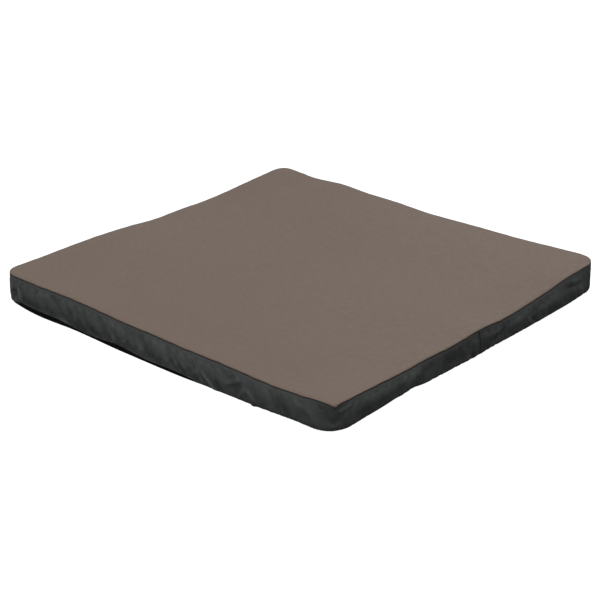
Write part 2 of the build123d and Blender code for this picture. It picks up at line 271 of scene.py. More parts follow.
def seam_height(places):
    tip = np.exp(-(((places % 4) - TIP_PLACE) / TIP_WIDE) ** 2)
    pulls = sum(height * np.sin(math.pi / 2 * count * places + count) for count, height in SEAM_PULLS)
    return profile(SEAM_HEIGHT, places, FINE) - TIP_DROOP * tip + pulls * MM


def side_inset(places, height):
    """How far the jacket's side is inside the outline, at a height above the edge of its underside."""
    radius = profile(LOWER_ROUND, places)
    tall = seam_height(places) - profile(UNDER_HEIGHT, places)
    below = np.clip(1 - height / radius, 0, 1)
    rounded = radius * (1 - np.sqrt(1 - below ** 2))
    share = np.clip(height / tall, 0, 1)
    from_corner = np.abs(places - np.round(places))
    bulge = BAND_BULGE * smoothstep(from_corner, 0, 0.12) * np.sin(math.pi * share)
    return rounded - bulge - profile(HEM_FLARE, places) * (1 - share)


def settle(points, ease=1 * MM):
    """Moves points of the flat CAD cover to where they are in the worn one. The zip's height stays."""
    x, y, z = points.T
    high = smoothstep(z / TOP, *MOVES_WITH_TOP)
    low = 1 - smoothstep(z / TOP, *STOPS_WITH_UNDER)
    under = under_height(x, y)
    raised = z + (top_height(x, y) - TOP) * high + under * low
    place, reach = places_of(x / HALF_W, y / HALF_L)
    _, outward = outline(place, 1.0, HEM_CORNERS)
    inset = np.maximum(side_inset(place, np.maximum(raised - under, 0)), 0) + ease
    inset *= smoothstep(reach, 0.85, 0.98)
    moved = points.copy()
    moved[:, :2] -= outward * inset[:, None]
    carried = np.clip(-x / HALF_W, 0, 1) * (1 - y / HALF_L) / 2
    moved[:, :2] += carried[:, None] * np.array(NEAR_SHIFT) * (HALF_W, HALF_L)
    moved[:, 2] = raised
    return moved


# ---- mesh helpers


def new_object(name, data):
    made = bpy.data.objects.new(name, data)
    bpy.context.scene.collection.objects.link(made)
    return made


def mesh_piece(name, points, faces, uv=None):
    """New mesh object from points and faces, smooth shaded, with an optional UV for each point."""
    mesh = bpy.data.meshes.new(name)
    mesh.from_pydata([tuple(p) for p in points], [], faces)
    mesh.shade_smooth()
    if uv is not None:
        layer = mesh.uv_layers.new(name="cloth")
        corner = np.zeros(len(mesh.loops), np.int32)
        mesh.loops.foreach_get("vertex_index", corner)
        layer.data.foreach_set("uv", np.asarray(uv, np.float32)[corner].ravel())
    return new_object(name, mesh)


def point_values(piece, name, values):
    """Stores a value for each point, which the materials read."""
    layer = piece.data.attributes.new(name, "FLOAT", "POINT")
    layer.data.foreach_set("value", np.asarray(values, np.float32).ravel())


def grid_of(across, along):
    """Every pair of the two lists of numbers, row by row along the first list."""
    second, first = np.meshgrid(along, across, indexing="ij")
    return first.ravel(), second.ravel()


def turned_over(faces):
    return [tuple(reversed(face)) for face in faces]


def grid_faces(rows, columns):
    """Quads of a grid whose points are stored row by row."""
    return [
        (r * columns + c, (r + 1) * columns + c, (r + 1) * columns + c + 1, r * columns + c + 1)
        for r in range(rows - 1)
        for c in range(columns - 1)
    ]


def add_rings(points, border, rings):
    """Adds rings of points beyond a sheet's border. Gives all the points and each row's numbers."""
    numbers = np.arange(len(rings) * len(border)).reshape(len(rings), -1) + len(points)
    return np.vstack([points, *rings]), [border, *numbers]


def tube_faces(start, rings, sides):
    """Quads and the two end caps of a tube whose rings of points are stored one after another."""
    faces = []
    numbers = start + np.arange(rings * sides).reshape(rings, sides)
    for near, far in zip(numbers, numbers[1:]):
        faces += zip(near, np.roll(near, -1), np.roll(far, -1), far)
    return [*faces, tuple(numbers[0, ::-1]), tuple(numbers[-1])]


def apply_modifiers(piece):
    bpy.context.view_layer.update()
    evaluated = piece.evaluated_get(bpy.context.evaluated_depsgraph_get())
    mesh = bpy.data.meshes.new_from_object(evaluated)
    piece.modifiers.clear()
    piece.data = mesh


def thicken(piece, thickness):
    """Gives a sheet its thickness, inward from the face that shows."""
    solid = piece.modifiers.new("thickness", "SOLIDIFY")
    solid.thickness = thickness
    solid.offset = -1
    solid.use_even_offset = False
    apply_modifiers(piece)


def coordinates_of(mesh):
    co = np.zeros(len(mesh.vertices) * 3, np.float32)
    mesh.vertices.foreach_get("co", co)
    return co.reshape(-1, 3).astype(float)


def flat_uv(mesh):
    """Lays a cloth UV in metres on each face, along the two axes that it faces least."""
    layer = mesh.uv_layers.new(name="cloth")
    for face in mesh.polygons:
        across = max(range(3), key=lambda axis: abs(face.normal[axis]))
        first, second = [axis for axis in (1, 0, 2) if axis != across]
        for loop in face.loop_indices:
            co = mesh.vertices[mesh.loops[loop].vertex_index].co
            layer.data[loop].uv = (co[first], co[second])


def settled_copy(node, name, ease):
    """Copy of a CAD node, cut finely enough to follow the worn cover, and moved there."""
    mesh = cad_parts[node].data.copy()
    cut = bmesh.new()
    cut.from_mesh(mesh)
    bmesh.ops.remove_doubles(cut, verts=cut.verts, dist=1e-6)
    low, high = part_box(node)
    for axis, step in enumerate(CUT_STEPS):
        count = int((high[axis] - low[axis]) / step)
        normal = Vector([a == axis for a in range(3)])
        for k in range(1, count + 1):
            at = normal * (low[axis] + (high[axis] - low[axis]) * k / (count + 1))
            everything = cut.verts[:] + cut.edges[:] + cut.faces[:]
            bmesh.ops.bisect_plane(cut, geom=everything, plane_co=at, plane_no=normal, dist=1e-6)
    cut.to_mesh(mesh)
    cut.free()
    mesh.vertices.foreach_set("co", settle(coordinates_of(mesh), ease).astype(np.float32).ravel())
    flat_uv(mesh)
    mesh.update()
    return new_object(name, mesh)


# ---- materials


class Shader:
    """A Principled material and short ways to wire its nodes."""

    def __init__(self, name, specular=0.5, metallic=0.0):
        self.material = bpy.data.materials.new(name)
        self.material.use_nodes = True
        self.tree = self.material.node_tree
        self.out = self.tree.nodes["Principled BSDF"]
        self.fill(self.out, {"Specular IOR Level": specular, "Metallic": metallic})
        self.where = self.node("TexCoord").outputs["Object"]

    def fill(self, node, inputs):
        """Sets a node's inputs, each to a value or to another node's output."""
        for key, value in inputs.items():
            if isinstance(value, bpy.types.NodeSocket):
                self.tree.links.new(value, node.inputs[key])
            else:
                node.inputs[key].default_value = value

    def node(self, kind, inputs=None, **settings):
        made = self.tree.nodes.new("ShaderNode" + kind)
        for key, value in settings.items():
            setattr(made, key, value)
        self.fill(made, inputs or {})
        return made

    def cloth_place(self):
        """Place on the cloth itself, in metres."""
        return self.node("UVMap", uv_map="cloth").outputs[0]

    def turned(self, where, degrees):
        """The same places, turned about Z."""
        inputs = {"Vector": where, "Angle": math.radians(-degrees)}
        return self.node("VectorRotate", inputs, rotation_type="Z_AXIS").outputs[0]

    def attribute(self, name):
        return self.node("Attribute", attribute_name=name).outputs["Fac"]

    def noise(self, scale, detail=3.0, stretch=(1, 1, 1), where=None):
        where = self.where if where is None else where
        place = self.node("Mapping", {"Vector": where, "Scale": stretch}).outputs[0]
        return self.node("TexNoise", {"Vector": place, "Scale": scale, "Detail": detail}).outputs["Fac"]

    def cells(self, scale, output="Distance", **settings):
        return self.node("TexVoronoi", {"Vector": self.where, "Scale": scale}, **settings).outputs[output]

    def waves(self, where, period, direction, distortion=0.3):
        """Bands at the period, in metres."""
        inputs = {"Vector": where, "Scale": math.pi / 10 / period, "Distortion": distortion, "Detail": 1.0}
        return self.node("TexWave", inputs, wave_type="BANDS", bands_direction=direction).outputs["Fac"]

    def weave(self, where, first, second, distortion=0.3):
        """Crossing threads, each set given as its spacing and direction."""
        threads = [self.waves(where, *thread, distortion) for thread in (first, second)]
        return self.maths("MULTIPLY", *threads)

    def maths(self, operation, first, second):
        return self.node("Math", {0: first, 1: second}, operation=operation).outputs[0]

    def ramp(self, factor, low, high, start=0.3, end=0.7):
        ramp = self.node("ValToRGB", {0: factor})
        for element, position, colour in zip(ramp.color_ramp.elements, (start, end), (low, high)):
            element.position = position
            element.color = (*colour, 1)
        return ramp.outputs["Color"]

    def grey(self, factor, low, high, start=0.3, end=0.7):
        return self.ramp(factor, (low,) * 3, (high,) * 3, start, end)

    def times(self, first, *others):
        """Product of colours."""
        for other in others:
            inputs = {"Factor": 1.0, "A": first, "B": other}
            first = self.node("Mix", inputs, data_type="RGBA", blend_type="MULTIPLY").outputs["Result"]
        return first

    def finished(self, colour, roughness, *bumps):
        """The material with its colour, its roughness as (factor, low, high), and its bump layers, each
        (height, distance, strength), the finest first."""
        factor, low, high = roughness
        spread = {"Value": factor, "From Min": 0.3, "From Max": 0.7, "To Min": low, "To Max": high}
        inputs = {"Base Color": colour, "Roughness": self.node("MapRange", spread).outputs[0]}
        normal = {}
        for height, distance, strength in bumps:
            layer = {"Height": height, "Distance": distance, "Strength": strength, **normal}
            normal = {"Normal": self.node("Bump", layer).outputs["Normal"]}
        self.fill(self.out, inputs | normal)
        return self.material


def scaled(colour, factor):
    return tuple(c * factor for c in colour)


def top_fabric():
    """Taupe coated fabric: almost even, with a fine leather-like grain, and painted shade darkening its
    roll down into the seam.
    """
    taupe = (0.122, 0.088, 0.069)
    s = Shader("top_fabric", 0.2)
    broad = s.ramp(s.noise(2.2, 2), scaled(taupe, 0.985), scaled(taupe, 1.015))
    fleck = s.grey(s.noise(420, 2), 0.95, 1.05)
    pebble = s.cells(600, feature="SMOOTH_F1")
    grain = s.grey(pebble, 1.03, 0.93, 0.2, 0.8)
    # painted shade: the lower rings of the rolled edge and the rings past the seam are darkened
    painted_roll_shade = s.grey(s.attribute("edge"), 1.0, 0.6, 0.6, 1.0)
    colour = s.times(broad, fleck, grain, painted_roll_shade)
    s.fill(s.out, {"Sheen Weight": 0.02, "Sheen Roughness": 0.5})
    bumps = ((pebble, -0.0003, 0.8), (s.noise(28, 2), 0.0004, 0.2))
    return s.finished(colour, (s.noise(60, 3), 0.56, 0.68), *bumps)


def woven(name, colour, thread, variation, roughness, depth=0.00015, specular=0.3):
    """Woven, coated cloth. Its threads follow the cloth's own lengths."""
    s = Shader(name, specular)
    weave = s.weave(s.cloth_place(), (thread, "X"), (thread, "Y"))
    base = s.ramp(s.noise(9, 4), scaled(colour, 1 - variation), scaled(colour, 1 + variation))
    fleck = s.grey(s.noise(260, 2), 0.88, 1.1)
    rough = (s.noise(40, 3), roughness - 0.08, roughness + 0.06)
    return s.finished(s.times(base, fleck), rough, (weave, depth, 0.6), (s.noise(45, 4), 0.0010, 0.3))


def band_fabric(colour):
    """Woven vinyl of the side bands: dark, with painted shade along the seam, towards the hem in slanting
    patches and in listed patches, and a painted highlight along the hem.
    """
    s = Shader("band_fabric", 0.3)
    cloth = s.cloth_place()
    thread = 1.1 * MM
    weave = s.weave(cloth, (thread, "X"), (thread, "Y"))
    base = s.ramp(s.noise(9, 4), scaled(colour, 0.93), scaled(colour, 1.07))
    threads = s.grey(weave, 0.9, 1.2, 0.0, 0.6)
    fleck = s.grey(s.noise(260, 2), 0.92, 1.08)
    # painted shade: the band darkens towards the hem, in slanting patches
    slanting = s.maths("MULTIPLY", s.noise(20, 3, (0.4, 1, 1), s.turned(cloth, 50)), 1.1)
    low = s.maths("ADD", s.maths("MULTIPLY", s.attribute("low"), 0.46), slanting)
    lower_shade = s.grey(low, 0.98, 0.5, 0.62, 1.0)
    # painted shade: listed patches of the band darkened under the seam and above the hem
    patch_shade = s.grey(s.attribute("patch_shade"), 1.0, 0.0, 0.0, 1.0)
    # painted shade: the band's top rows, in the groove under the seam, are darkened
    seam = s.grey(s.attribute("seam"), 1.0, 0.3, 0.1, 0.9)
    # painted highlight: the hem rows are lightened
    hem_highlight = s.grey(s.attribute("edge"), 1.0, 2.0, 0.3, 1.0)
    colour = s.times(base, threads, fleck, lower_shade, patch_shade, seam, hem_highlight)
    rough = (s.noise(40, 3), 0.54, 0.68)
    return s.finished(colour, rough, (weave, 0.00025, 0.8), (s.noise(45, 4), 0.0010, 0.25))


def foam_material():
    """Expanded polystyrene: pale fused beads."""
    s = Shader("foam_board", 0.3)
    bead = s.cells(260, feature="F1")
    colour = s.times(s.grey(bead, 0.80, 0.66, 0.2, 0.8), s.grey(s.noise(6, 2), 0.96, 1.0))
    return s.finished(colour, (s.noise(90, 2), 0.7, 0.9), (bead, 0.0006, 0.6))


def film_material():
    """Milky polyethylene film with slack creases."""
    s = Shader("barrier_film")
    colour = s.ramp(s.noise(14, 3), (0.60, 0.62, 0.63), (0.68, 0.69, 0.69))
    creases = s.noise(30, 5, (1, 3, 1))
    return s.finished(colour, (s.noise(30, 3), 0.18, 0.36), (creases, 0.002, 0.5))


def steel_material():
    """Galvanised sheet steel with its spangle."""
    s = Shader("galvanised_steel", metallic=0.9)
    spangle = s.ramp(s.cells(90, "Color"), (0.42, 0.43, 0.44), (0.60, 0.61, 0.62), 0.1, 0.9)
    return s.finished(spangle, (s.noise(60, 4), 0.3, 0.5), (s.noise(300, 2), 0.0001, 0.4))


def cast_metal(name, colour):
    """Small plated metal parts, rubbed brighter in places."""
    s = Shader(name, metallic=1.0)
    worn = s.ramp(s.noise(180, 4), scaled(colour, 0.72), colour)
    scratches = s.noise(900, 3, (1, 6, 1))
    return s.finished(worn, (s.noise(400, 3, (1, 4, 1)), 0.2, 0.42), (scratches, 0.00005, 0.4))


def nylon():
    """Black nylon monofilament of the zip's coil."""
    s = Shader("zip_coil")
    colour = s.ramp(s.noise(120, 2), (0.010, 0.010, 0.011), (0.018, 0.018, 0.019))
    return s.finished(colour, (s.noise(500, 2), 0.32, 0.45), (s.noise(1500, 1), 0.00003, 0.3))


def thread_material():
    """Twisted sewing thread."""
    grey = (0.022, 0.023, 0.024)
    s = Shader("thread", 0.3)
    tint = s.ramp(s.noise(900, 2), scaled(grey, 0.8), scaled(grey, 1.2))
    twist = s.waves(s.where, 0.0006, "DIAGONAL")
    return s.finished(tint, (s.noise(700, 2), 0.5, 0.7), (twist, 0.00008, 0.5))


def tape_material():
    """Zip tape woven in a fine herringbone across its width."""
    s = Shader("zip_tape", 0.25)
    twill = s.weave(s.where, (0.0009, "Y"), (0.0013, "Z"), 0.2)
    colour = s.times(s.grey(s.noise(25, 3), 0.012, 0.019), s.grey(twill, 0.85, 1.1))
    return s.finished(colour, (s.noise(90, 2), 0.68, 0.82), (twill, 0.0002, 0.7))


def floor_material():
    """Pale matt floor, lit from below like a studio's light table so that it shows almost white."""
    s = Shader("floor", 0.0)
    pale = s.grey(s.noise(3, 2), 0.20, 0.21)
    seen = s.node("LightPath").outputs["Is Camera Ray"]
    glow = {"Emission Color": (1, 1, 1, 1), "Emission Strength": seen}
    s.fill(s.out, {"Base Color": pale, "Roughness": 0.9, **glow})
    return s.material


# ---- top sheet and hinge webbing


def fold_columns(far, count):
    """Columns across the fold: close together where the cloth bends, then on to the far edge."""
    half_width, spacing = 12 * MM, 1.5 * MM
    near = np.arange(-half_width, half_width + spacing / 2, spacing)
    outer = np.linspace(half_width + spacing, far, count)
    return np.concatenate([-outer[::-1], near, outer])


def make_top_sheet():
    """The one top sheet over both halves, rolled down to its seam all round."""
    u = fold_columns(HALF_W, 84) / HALF_W
    v = np.linspace(-1, 1, 201)
    place, reach = places_of(*grid_of(u, v))
    xy, _ = outline(place, reach * (1 - ROLL_WIDE / HALF_W), SEAM_CORNERS)
    z = top_height(*xy.T)
    points = np.column_stack([xy, z])
    faces = turned_over(grid_faces(len(v), len(u)))
    index = np.arange(len(z)).reshape(len(v), len(u))
    border = np.concatenate([index[:0:-1, 0], index[0, :-1], index[:-1, -1], index[-1, :0:-1]])
    edge, outward = outline(place[border], 1.0, SEAM_CORNERS)
    height = z[border]
    seam = seam_height(place[border])
    turn = math.pi / 2 * np.arange(1, ROLL_STEPS + 1) / ROLL_STEPS
    section = [*zip(ROLL_WIDE * (1 - np.sin(turn)), 1 - np.cos(turn)), *ROLL_HEM]
    rings = [
        np.column_stack([edge - outward * inset, height + (seam - height) * drop])
        for inset, drop in section
    ]
    points, lines = add_rings(points, border, rings)
    for near, far in zip(lines, lines[1:]):
        faces += zip(near, far, np.roll(far, -1), np.roll(near, -1))
    # painted shade for the rolled edge: a value for each point, which the material turns into darkening of
    # the roll's lower rings and of the rings past the seam
    roll_shade_share = [smoothstep(reach, 0.97, 1.0) * 0.2]
    roll_shade_share += [np.full(len(border), 0.25 + 0.1 * number) for number in range(len(rings))]
    sheet = mesh_piece("top_sheet", points, faces, uv=points[:, :2])
    point_values(sheet, "edge", np.concatenate(roll_shade_share))
    thicken(sheet, TOP_THICK)
    return sheet


def make_webbing():
    """The hinge webbing under the top sheet, one strip across the fold."""
    low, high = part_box("fixed_hinge_webbing")
    across = fold_columns(-low.x, 12)
    along = np.linspace(low.y, high.y, 120)
    x, y = grid_of(across, along)
    points = np.column_stack([x, y, top_height(x, y) - (TOP - high.z)])
    faces = turned_over(grid_faces(len(along), len(across)))
    strip = mesh_piece("hinge_webbing_strip", points, faces, uv=points[:, :2])
    thicken(strip, high.z - low.z)
    return strip


# ---- side bands

# Creases of the side bands that the eye finds first: (place, share of the way down, length, width and
# height in millimetres, lean in degrees, positive when the crease runs down to the right)
CREASES = (
    (0.045, 0.7, 44, 12, -11, 72), (0.067, 0.68, 60, 5.5, 10, 66), (0.13, 0.45, 90, 18, 4, -30),
    (0.205, 0.6, 130, 20, -6, 50), (0.255, 0.5, 120, 13, 5.5, 55), (0.3, 0.76, 55, 5, 5.5, 42),
    (0.345, 0.45, 90, 16, -4, 40), (0.39, 0.84, 40, 5, 6.5, 55), (0.4, 0.35, 120, 20, 4, 20),
    (0.48, 0.6, 130, 20, -5, 30), (0.53, 0.35, 120, 20, 4.5, 24), (0.585, 0.78, 65, 5, 6.5, 48),
    (0.565, 0.66, 90, 18, -4, 30), (0.645, 0.7, 60, 5, 7.5, 52), (0.676, 0.82, 85, 5, 8, 32),
    (0.69, 0.45, 120, 20, 3, 15), (0.74, 0.36, 80, 9, 6, -28), (0.768, 0.5, 65, 6, 8, 88),
    (0.755, 0.74, 50, 7, 6, 125), (0.785, 0.62, 60, 7, 5.5, 40), (0.79, 0.86, 40, 5, 6.5, 55),
    (0.735, 0.62, 70, 20, -6, 60), (0.83, 0.4, 110, 20, 3, 20), (0.86, 0.62, 120, 22, -3, 25),
    (0.92, 0.32, 90, 16, 3, 18), (0.965, 0.5, 70, 18, -3, 60), (1.03, 0.17, 55, 6, 10, -12),
    (1.13, 0.68, 240, 24, -4, 0), (1.16, 0.3, 260, 22, 5, 0), (1.245, 0.45, 130, 18, 6, -40),
    (1.295, 0.5, 120, 24, -7, -40), (1.31, 0.2, 60, 12, 3.5, -10), (1.4, 0.5, 130, 26, -4, 0),
    (1.445, 0.55, 70, 12, 4, 60), (1.475, 0.5, 90, 8, 4, 84), (1.55, 0.3, 120, 14, 5, 0),
    (1.565, 0.55, 120, 13, -6, -22), (1.65, 0.32, 150, 16, 5, -5), (1.695, 0.6, 50, 8, 5, 50),
    (1.718, 0.7, 50, 8, -7, 50), (1.78, 0.42, 130, 17, 6, -3), (1.8, 0.8, 130, 12, -4, -3),
    (1.885, 0.36, 100, 8, -7, 8), (1.89, 0.18, 90, 8, 3, 8), (1.93, 0.62, 90, 17, 5, 10),
)
CREASE_SPACING = 0.075  # of the scattered small creases, in sides

# Settings of the cloth simulation
CLOTH = {
    "vertex_group_mass": "held", "quality": 6, "mass": 0.25, "shrink_min": -0.025,
    "tension_stiffness": 25, "compression_stiffness": 25, "shear_stiffness": 12,
    "bending_stiffness": 0.8, "use_pressure": True, "uniform_pressure_force": 0.15,
}
CLOTH_FRAMES = 22
SLACK_LIMIT = 3.8 * MM  # how far the simulation may move the cloth
BODY_TOP, BODY_FOOT = 4, -5  # rows of the finished band between which it shows
PUCKER_PITCH = 13 * MM
PUCKER_HIGH = 0.15 * MM


def refine(values, axis):
    """Doubles the points along one axis, with smooth points in between (the four-point rule)."""
    v = np.moveaxis(values, axis, 0)
    longer = np.concatenate([2 * v[:1] - v[1:2], v, 2 * v[-1:] - v[-2:-1]])
    between = (9 * (longer[1:-2] + longer[2:-1]) - longer[:-3] - longer[3:]) / 16
    out = np.empty((2 * len(v) - 1, *v.shape[1:]))
    out[::2] = v
    out[1::2] = between
    return np.moveaxis(out, 0, axis)


def grid_normals(grid):
    """Outward direction at each point of a grid with rows running down the band."""
    return unit(np.cross(np.gradient(grid, axis=0), np.gradient(grid, axis=1)))


def band_grid(half, first, last):
    """Smooth band of one half before it creases: its points, and the place of each column."""
    places = np.linspace(first, last, int(AROUND_HALF / SIM_STATION) + 1)
    top_edge, top_out = outline(places, 1.0, SEAM_CORNERS)
    hem_edge, hem_out = outline(places, 1.0, HEM_CORNERS)
    seam = seam_height(places) - SEAM_GAP
    under = profile(UNDER_HEIGHT, places)
    hem = under + profile(HEM_GAP, places)
    rows = [np.column_stack([top_edge - top_out * tuck, seam + rise]) for tuck, rise in BAND_HEAD]
    for step in np.linspace(0.03, 1, SIM_ROWS):
        share = 1 - (1 - step) ** 1.5  # rows closer together toward the hem
        mixed = np.clip(share * 1.6, 0, 1) ** 0.8  # from the seam's corners to the hem's
        edge = top_edge * (1 - mixed) + hem_edge * mixed
        out = unit(top_out * (1 - mixed) + hem_out * mixed)
        height = seam + (hem - seam) * share
        inset = side_inset(places, height - under)
        rows.append(np.column_stack([edge - out * inset[:, None], height]))
    inset = side_inset(places, hem - under)
    for tuck, rise in BAND_FOOT:
        rows.append(np.column_stack([hem_edge - hem_out * (inset + tuck)[:, None], hem + rise]))
    return turned_in(np.array(rows), places, half)


def turned_in(grid, places, half):
    """Turns both ends of a band in along the fold face."""
    sign = -1 if half == "fixed" else 1
    keep = np.abs(grid[0, :, 0]) > FOLD_GAP + FOLD_TURN
    grid, places = grid[:, keep], places[keep]
    steps = 5
    wander = profile({0: -2.5, 1: 0, 2: 2, 3: 0}, np.linspace(0, 3, len(grid)), 0.6)
    sides = []
    for end in (0, -1):
        column = grid[:, end]
        toward = -math.copysign(1, column[5, 1])
        strips = []
        for step in range(1, steps + 1):
            angle = math.pi / 2 * step / steps
            strip = column.copy()
            strip[:, 0] = sign * (FOLD_GAP + FOLD_TURN * (1 - math.sin(angle)))
            strip[:, 0] += wander * math.sin(math.pi * step / steps)
            strip[:, 1] += toward * FOLD_TURN * (1 - math.cos(angle))
            strips.append(strip)
        for _ in range(2):
            strips.append(strips[-1] + (0, toward * BAND_RETURN / 2, 0))
        sides.append(np.stack(strips, axis=1))
    grid = np.concatenate([sides[0][:, ::-1], grid, sides[1]], axis=1)
    return grid, np.pad(places, len(strips), "edge")


def slack_grid(grid):
    """The band's grid after a cloth simulation that holds its edges and has a little cloth to spare.
    Each point is kept close to where it was."""
    rows, columns = grid.shape[:2]
    piece = mesh_piece("slack", grid.reshape(-1, 3), grid_faces(rows, columns))
    held = np.ones((rows, columns), bool)
    held[4:-4, 8:-8] = False
    piece.vertex_groups.new(name="held").add(np.flatnonzero(held).tolist(), 1.0, "REPLACE")
    cloth = piece.modifiers.new("cloth", "CLOTH")
    for setting, value in CLOTH.items():
        setattr(cloth.settings, setting, value)
    cloth.settings.effector_weights.gravity = 0.3
    cloth.point_cache.frame_start = 1
    cloth.point_cache.frame_end = CLOTH_FRAMES
    for frame_number in range(1, CLOTH_FRAMES + 1):
        bpy.context.scene.frame_set(frame_number)
    apply_modifiers(piece)
    bpy.context.scene.frame_set(1)
    moved = coordinates_of(piece.data).reshape(grid.shape) - grid
    bpy.data.objects.remove(piece)
    normal = grid_normals(grid)
    out = np.sum(moved * normal, axis=2)
    near_hem = smoothstep(np.arange(rows), rows - 12, rows - 7)
    limit = SLACK_LIMIT * (1 - 0.85 * near_hem)[:, None]
    return grid + normal * (limit * np.tanh(out / limit))[:, :, None]


def scattered_creases(first, last, seed):
    """Small creases along a band, in the form of the CREASES table."""
    rng = random.Random(seed)
    place = first
    while place < last:
        place += CREASE_SPACING * rng.uniform(0.5, 1.5)
        height = rng.choice((-1, 1)) * rng.uniform(0.8, 2.0)
        lean = rng.choice((-1, 1)) * rng.uniform(15, 65)
        length, width = rng.uniform(50, 130), rng.uniform(10, 24)
        yield place, rng.uniform(0.2, 0.8), length, width, height, lean


def crease_height(s, d, length, width, height, lean):
    """Height of one slightly bent crease, s along the band and d down it from the crease's middle."""
    c, n = math.cos(math.radians(lean)), math.sin(math.radians(lean))
    along = s * c + d * n
    bend = d * c - s * n + 0.12 * along ** 2 / (length * MM)
    return height * MM * np.exp(-((bend / (width * MM)) ** 2) - (along / (length * MM / 2)) ** 4)


def creased(grid, places, seed):
    """Adds the creases that show, and small scattered ones, along the band's own normal."""
    run = running(np.linalg.norm(np.diff(grid, axis=1), axis=2).mean(axis=0))
    down = running(np.linalg.norm(np.diff(grid, axis=0), axis=2).mean(axis=1))
    start, tall = down[BODY_TOP], down[BODY_FOOT] - down[BODY_TOP]
    raised = np.zeros(grid.shape[:2])
    for place, share, *shape in (*CREASES, *scattered_creases(places[0], places[-1], seed)):
        for turn in (-4, 0, 4):
            if places[0] < place + turn < places[-1]:
                s = run - np.interp(place + turn, places, run)
                raised += crease_height(s, (down - start - share * tall)[:, None], *shape)
    rows = np.arange(len(down))[:, None]
    held = smoothstep(rows, 3, 10) * (1 - smoothstep(rows, len(down) - 14, len(down) - 6))
    inside = smoothstep(np.minimum(run - run[0], run[-1] - run), 30 * MM, 60 * MM)
    return grid + grid_normals(grid) * (raised * held * inside)[:, :, None]


def puckered(grid, run):
    """Small puckers that the seam and the hem stitching draw into the cloth."""
    turns = run * 2 * math.pi / PUCKER_PITCH
    wave = np.sin(turns + 2.2 * np.sin(run * 21)) * (0.6 + 0.4 * np.sin(run * 9))
    near = sum(np.exp(-((np.arange(len(grid)) - row) / 3) ** 2) for row in (5, len(grid) - 8))
    return grid + grid_normals(grid) * (PUCKER_HIGH * near[:, None] * wave)[:, :, None]


def make_side_band(half, first, last, seed):
    """Side band of one half, from one end of the fold to the other. Also gives its finished grid."""
    grid, places = band_grid(half, first, last)
    grid = slack_grid(grid)
    for _ in range(2):
        grid = refine(grid, 1)
        places = refine(places, 0)
    grid = refine(grid, 0)
    grid = creased(grid, places, seed)
    rows, columns = grid.shape[:2]
    run = run_along(grid[rows // 3])
    grid = puckered(grid, run)
    down = run_along(grid[:, columns // 3])
    uv = np.stack(np.meshgrid(run, down), axis=-1).reshape(-1, 2)
    band = mesh_piece(f"{half}_band", grid.reshape(-1, 3), grid_faces(rows, columns), uv)
    row = np.arange(rows)[:, None]
    start, end = down[BODY_TOP], down[BODY_FOOT]
    low = np.clip((down - start) / (end - start), 0, 1)[:, None]
    # painted shade under the seam and above the hem, as shares
    high_shade, low_shade = (profile(table, places) / MM / 100 for table in (SHADED_HIGH, SHADED_LOW))
    values = {
        # painted highlight along the hem
        "edge": smoothstep(row, rows - 11, rows - 8),
        # painted shade in the seam groove
        "seam": 1 - smoothstep(row, 2.5, 4),
        "low": low,
        # painted shade in listed patches
        "patch_shade": high_shade * (1 - smoothstep(low, 0.4, 1)) + low_shade * smoothstep(low, 0.35, 0.65),
    }
    for name, value in values.items():
        point_values(band, name, np.broadcast_to(value, (rows, columns)))
    thicken(band, BAND_THICK)
    return band, grid


# ---- underside


def eyelet_centres(half):
    """Where the CAD eyelets are, in plan, and their outer radius."""
    low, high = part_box(f"{half}_drain_eyelets")
    outer = (high.x - low.x) / 2
    x = (low.x + high.x) / 2
    return [(x, low.y + outer), (x, high.y - outer)], outer


def make_liner(half, sign):
    """Underside sheet of one half, its edge turned up behind the hem, with holes for its eyelets."""
    u = np.linspace(LINER_FOLD_FACE / HALF_W, 1, 110) * sign
    v = np.linspace(-1, 1, 221)
    grid_u, grid_v = grid_of(u, v)
    place, reach = places_of(grid_u, grid_v)
    rim, outward = outline(place, 1.0, HEM_CORNERS)
    rim -= outward * (side_inset(place, 0) + LINER_BEHIND)[:, None]
    xy = rim * reach[:, None]
    xy[np.isclose(grid_u, u[0]), 0] = sign * LINER_FOLD_FACE
    points = np.column_stack([xy, under_height(*xy.T)])
    faces = grid_faces(len(v), len(u))
    if sign < 0:
        faces = turned_over(faces)
    index = np.arange(len(xy)).reshape(len(v), len(u))
    border = np.concatenate([index[0], index[1:, -1], index[-1, -2::-1]])
    place = place[border]
    edge, outward = outline(place, 1.0, HEM_CORNERS)
    low = points[border, 2]
    shown = profile(HEM_GAP, place) + 1 * MM
    rings = []
    for share, tuck in LINER_RINGS:
        rise = shown * share
        inset = side_inset(place, rise) + LINER_BEHIND + tuck
        ring = np.column_stack([edge - outward * inset[:, None], low + rise])
        ring[np.abs(ring[:, 0]) < LINER_FOLD_FACE, 0] = sign * LINER_FOLD_FACE
        rings.append(ring)
    points, lines = add_rings(points, border, rings)
    for near, far in zip(lines, lines[1:]):
        if sign < 0:
            near, far = far, near
        faces += zip(near[:-1], near[1:], far[1:], far[:-1])
    liner = mesh_piece(f"{half}_liner", points, faces, uv=points[:, :2])
    centres, outer = eyelet_centres(half)
    for centre in centres:
        cut_hole(liner.data, centre, EYELET_HOLE * outer)
    thicken(liner, LINER_THICK)
    return liner


